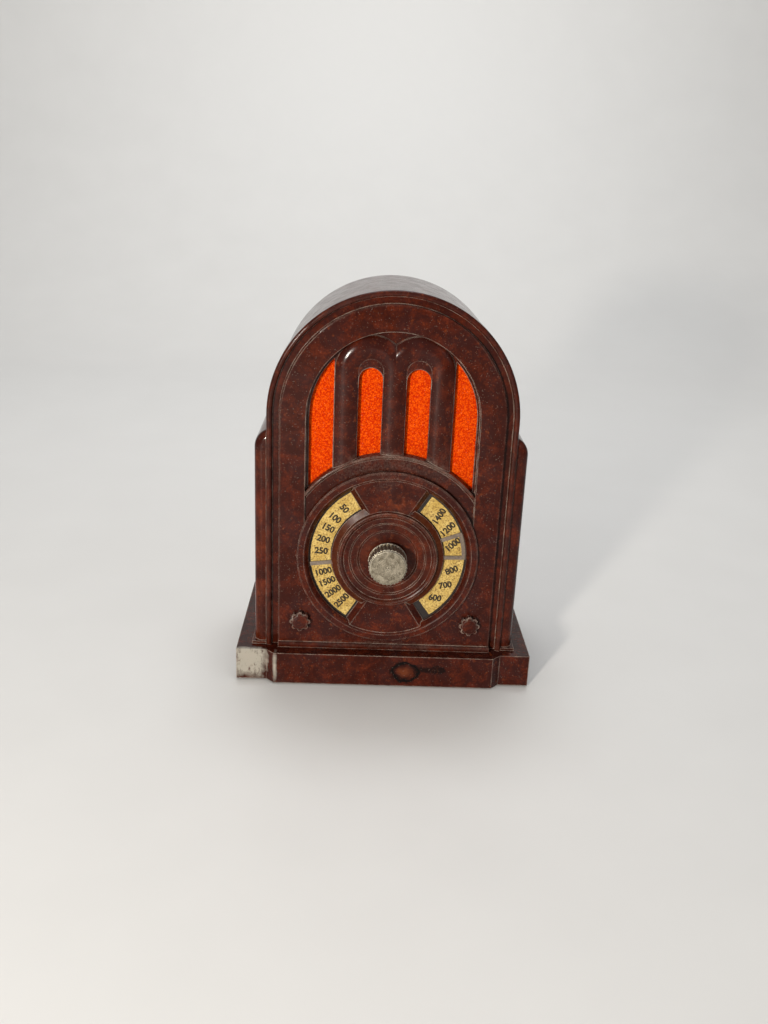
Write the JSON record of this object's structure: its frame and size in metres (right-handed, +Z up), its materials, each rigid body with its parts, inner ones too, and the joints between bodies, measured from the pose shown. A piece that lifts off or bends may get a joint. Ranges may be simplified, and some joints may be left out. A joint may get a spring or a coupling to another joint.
{
  "type": "bakelite table radio",
  "caption": "Small arch-topped bakelite table radio with a stepped plinth, slotted cloth grille, round dial with two paper scales and a knurled tuning knob.",
  "frame": {"origin": "middle of the footprint, on the surface that the feet stand on", "axes": "+X to the radio's right as seen from the front, +Y to the back, +Z up; the dial faces -Y"},
  "size_m": [0.165, 0.1024, 0.218],
  "materials": {
    "bakelite": "mottled dark walnut bakelite, polished",
    "nickel": "worn nickel plate",
    "paper": "yellowed printed paper",
    "cloth": "coarse orange-red grille cloth",
    "dark_steel": "dark brown lacquer",
    "cursor": "grey-brown lacquer",
    "steel": "zinc-plated steel",
    "chassis_steel": "grey cadmium-look paint",
    "brass": "turned brass",
    "aluminium": "plain aluminium",
    "magnet": "blued iron",
    "plywood": "birch plywood",
    "card": "brown fibreboard",
    "cork": "cork paper",
    "cone_paper": "black pressed paper",
    "winding": "enamelled copper wire",
    "paxolin": "laminated phenolic sheet",
    "black_plastic": "black moulded plastic",
    "valve_glass": "clear glass",
    "electrode": "carbonised nickel",
    "laminations": "varnished iron laminations",
    "wax": "waxed card tube",
    "ceramic": "cement-coated ceramic",
    "resistor_body": "painted carbon rod",
    "rubber": "black rubber"
  },
  "bodies": {
    "radio": {"cabinet": "bakelite", "front_frame": "bakelite", "dial_escutcheon": "bakelite", "scale_plate": "dark_steel", "left_scale": "paper", "right_scale": "paper", "dial_screws": "steel", "spindle_bush": "brass", "spindle_bracket": "steel", "capacitor_stator": "aluminium", "capacitor_frame": "steel", "volume_control": "black_plastic", "band_switch": "steel", "control_nuts": "brass", "grille_cloth": "cloth", "baffle_board": "plywood", "speaker_gasket": "cork", "speaker_basket": "steel", "speaker_magnet": "magnet", "chassis": "chassis_steel", "chassis_screws": "steel", "valve_holders": "black_plastic", "output_valve_base": "black_plastic", "output_valve_glass": "valve_glass", "detector_valve_base": "black_plastic", "detector_valve_glass": "valve_glass", "valve_electrodes": "electrode", "transformer_core": "laminations", "transformer_winding": "winding", "smoothing_capacitor": "aluminium", "aerial_coil_former": "wax", "aerial_coil_winding": "winding", "mains_dropper": "ceramic", "tag_strips": "paxolin", "resistors": "resistor_body", "paper_capacitors": "wax", "socket_strip": "paxolin", "aerial_earth_sockets": "brass", "cord_grommet": "rubber", "back_cover": "card", "back_screws": "steel", "frame_screws": "steel", "rubber_feet": "rubber"},
    "tuner": {"tuning_knob": "nickel", "tuning_spindle": "steel", "spindle_gear": "brass", "dial_cursor": "cursor"},
    "capacitor": {"capacitor_rotor": "aluminium", "capacitor_gear": "brass"},
    "volume": {"volume_knob": "bakelite", "volume_shaft": "steel"},
    "band": {"band_knob": "bakelite", "band_shaft": "steel"},
    "cone": {"speaker_cone": "cone_paper", "voice_coil": "winding"}
  },
  "joints": [
    {"name": "tuning_turn", "type": "hinge", "parent": "radio", "child": "tuner", "pos_m": [0, -0.03675, 0.0745], "axis": [0, 1, 0], "range_deg": [-35, 58]},
    {"name": "capacitor_turn", "type": "hinge", "parent": "radio", "child": "capacitor", "pos_m": [0.0246, -0.01175, 0.0745], "axis": [0, 1, 0], "range_deg": [-112.36, 68]},
    {"name": "volume_turn", "type": "hinge", "parent": "radio", "child": "volume", "pos_m": [-0.0472, -0.03675, 0.036], "axis": [0, 1, 0], "range_deg": [0, 270]},
    {"name": "band_turn", "type": "hinge", "parent": "radio", "child": "band", "pos_m": [0.0472, -0.03675, 0.036], "axis": [0, 1, 0], "range_deg": [0, 60]},
    {"name": "cone_travel", "type": "slide", "parent": "radio", "child": "cone", "axis": [0, 1, 0], "range_m": [-0.0008, 0.0008], "stiffness_N_per_m": 600}
  ],
  "couplings": [
    {"joint": "capacitor_turn", "follows": "tuning_turn", "ratio": -1.9286}
  ]
}
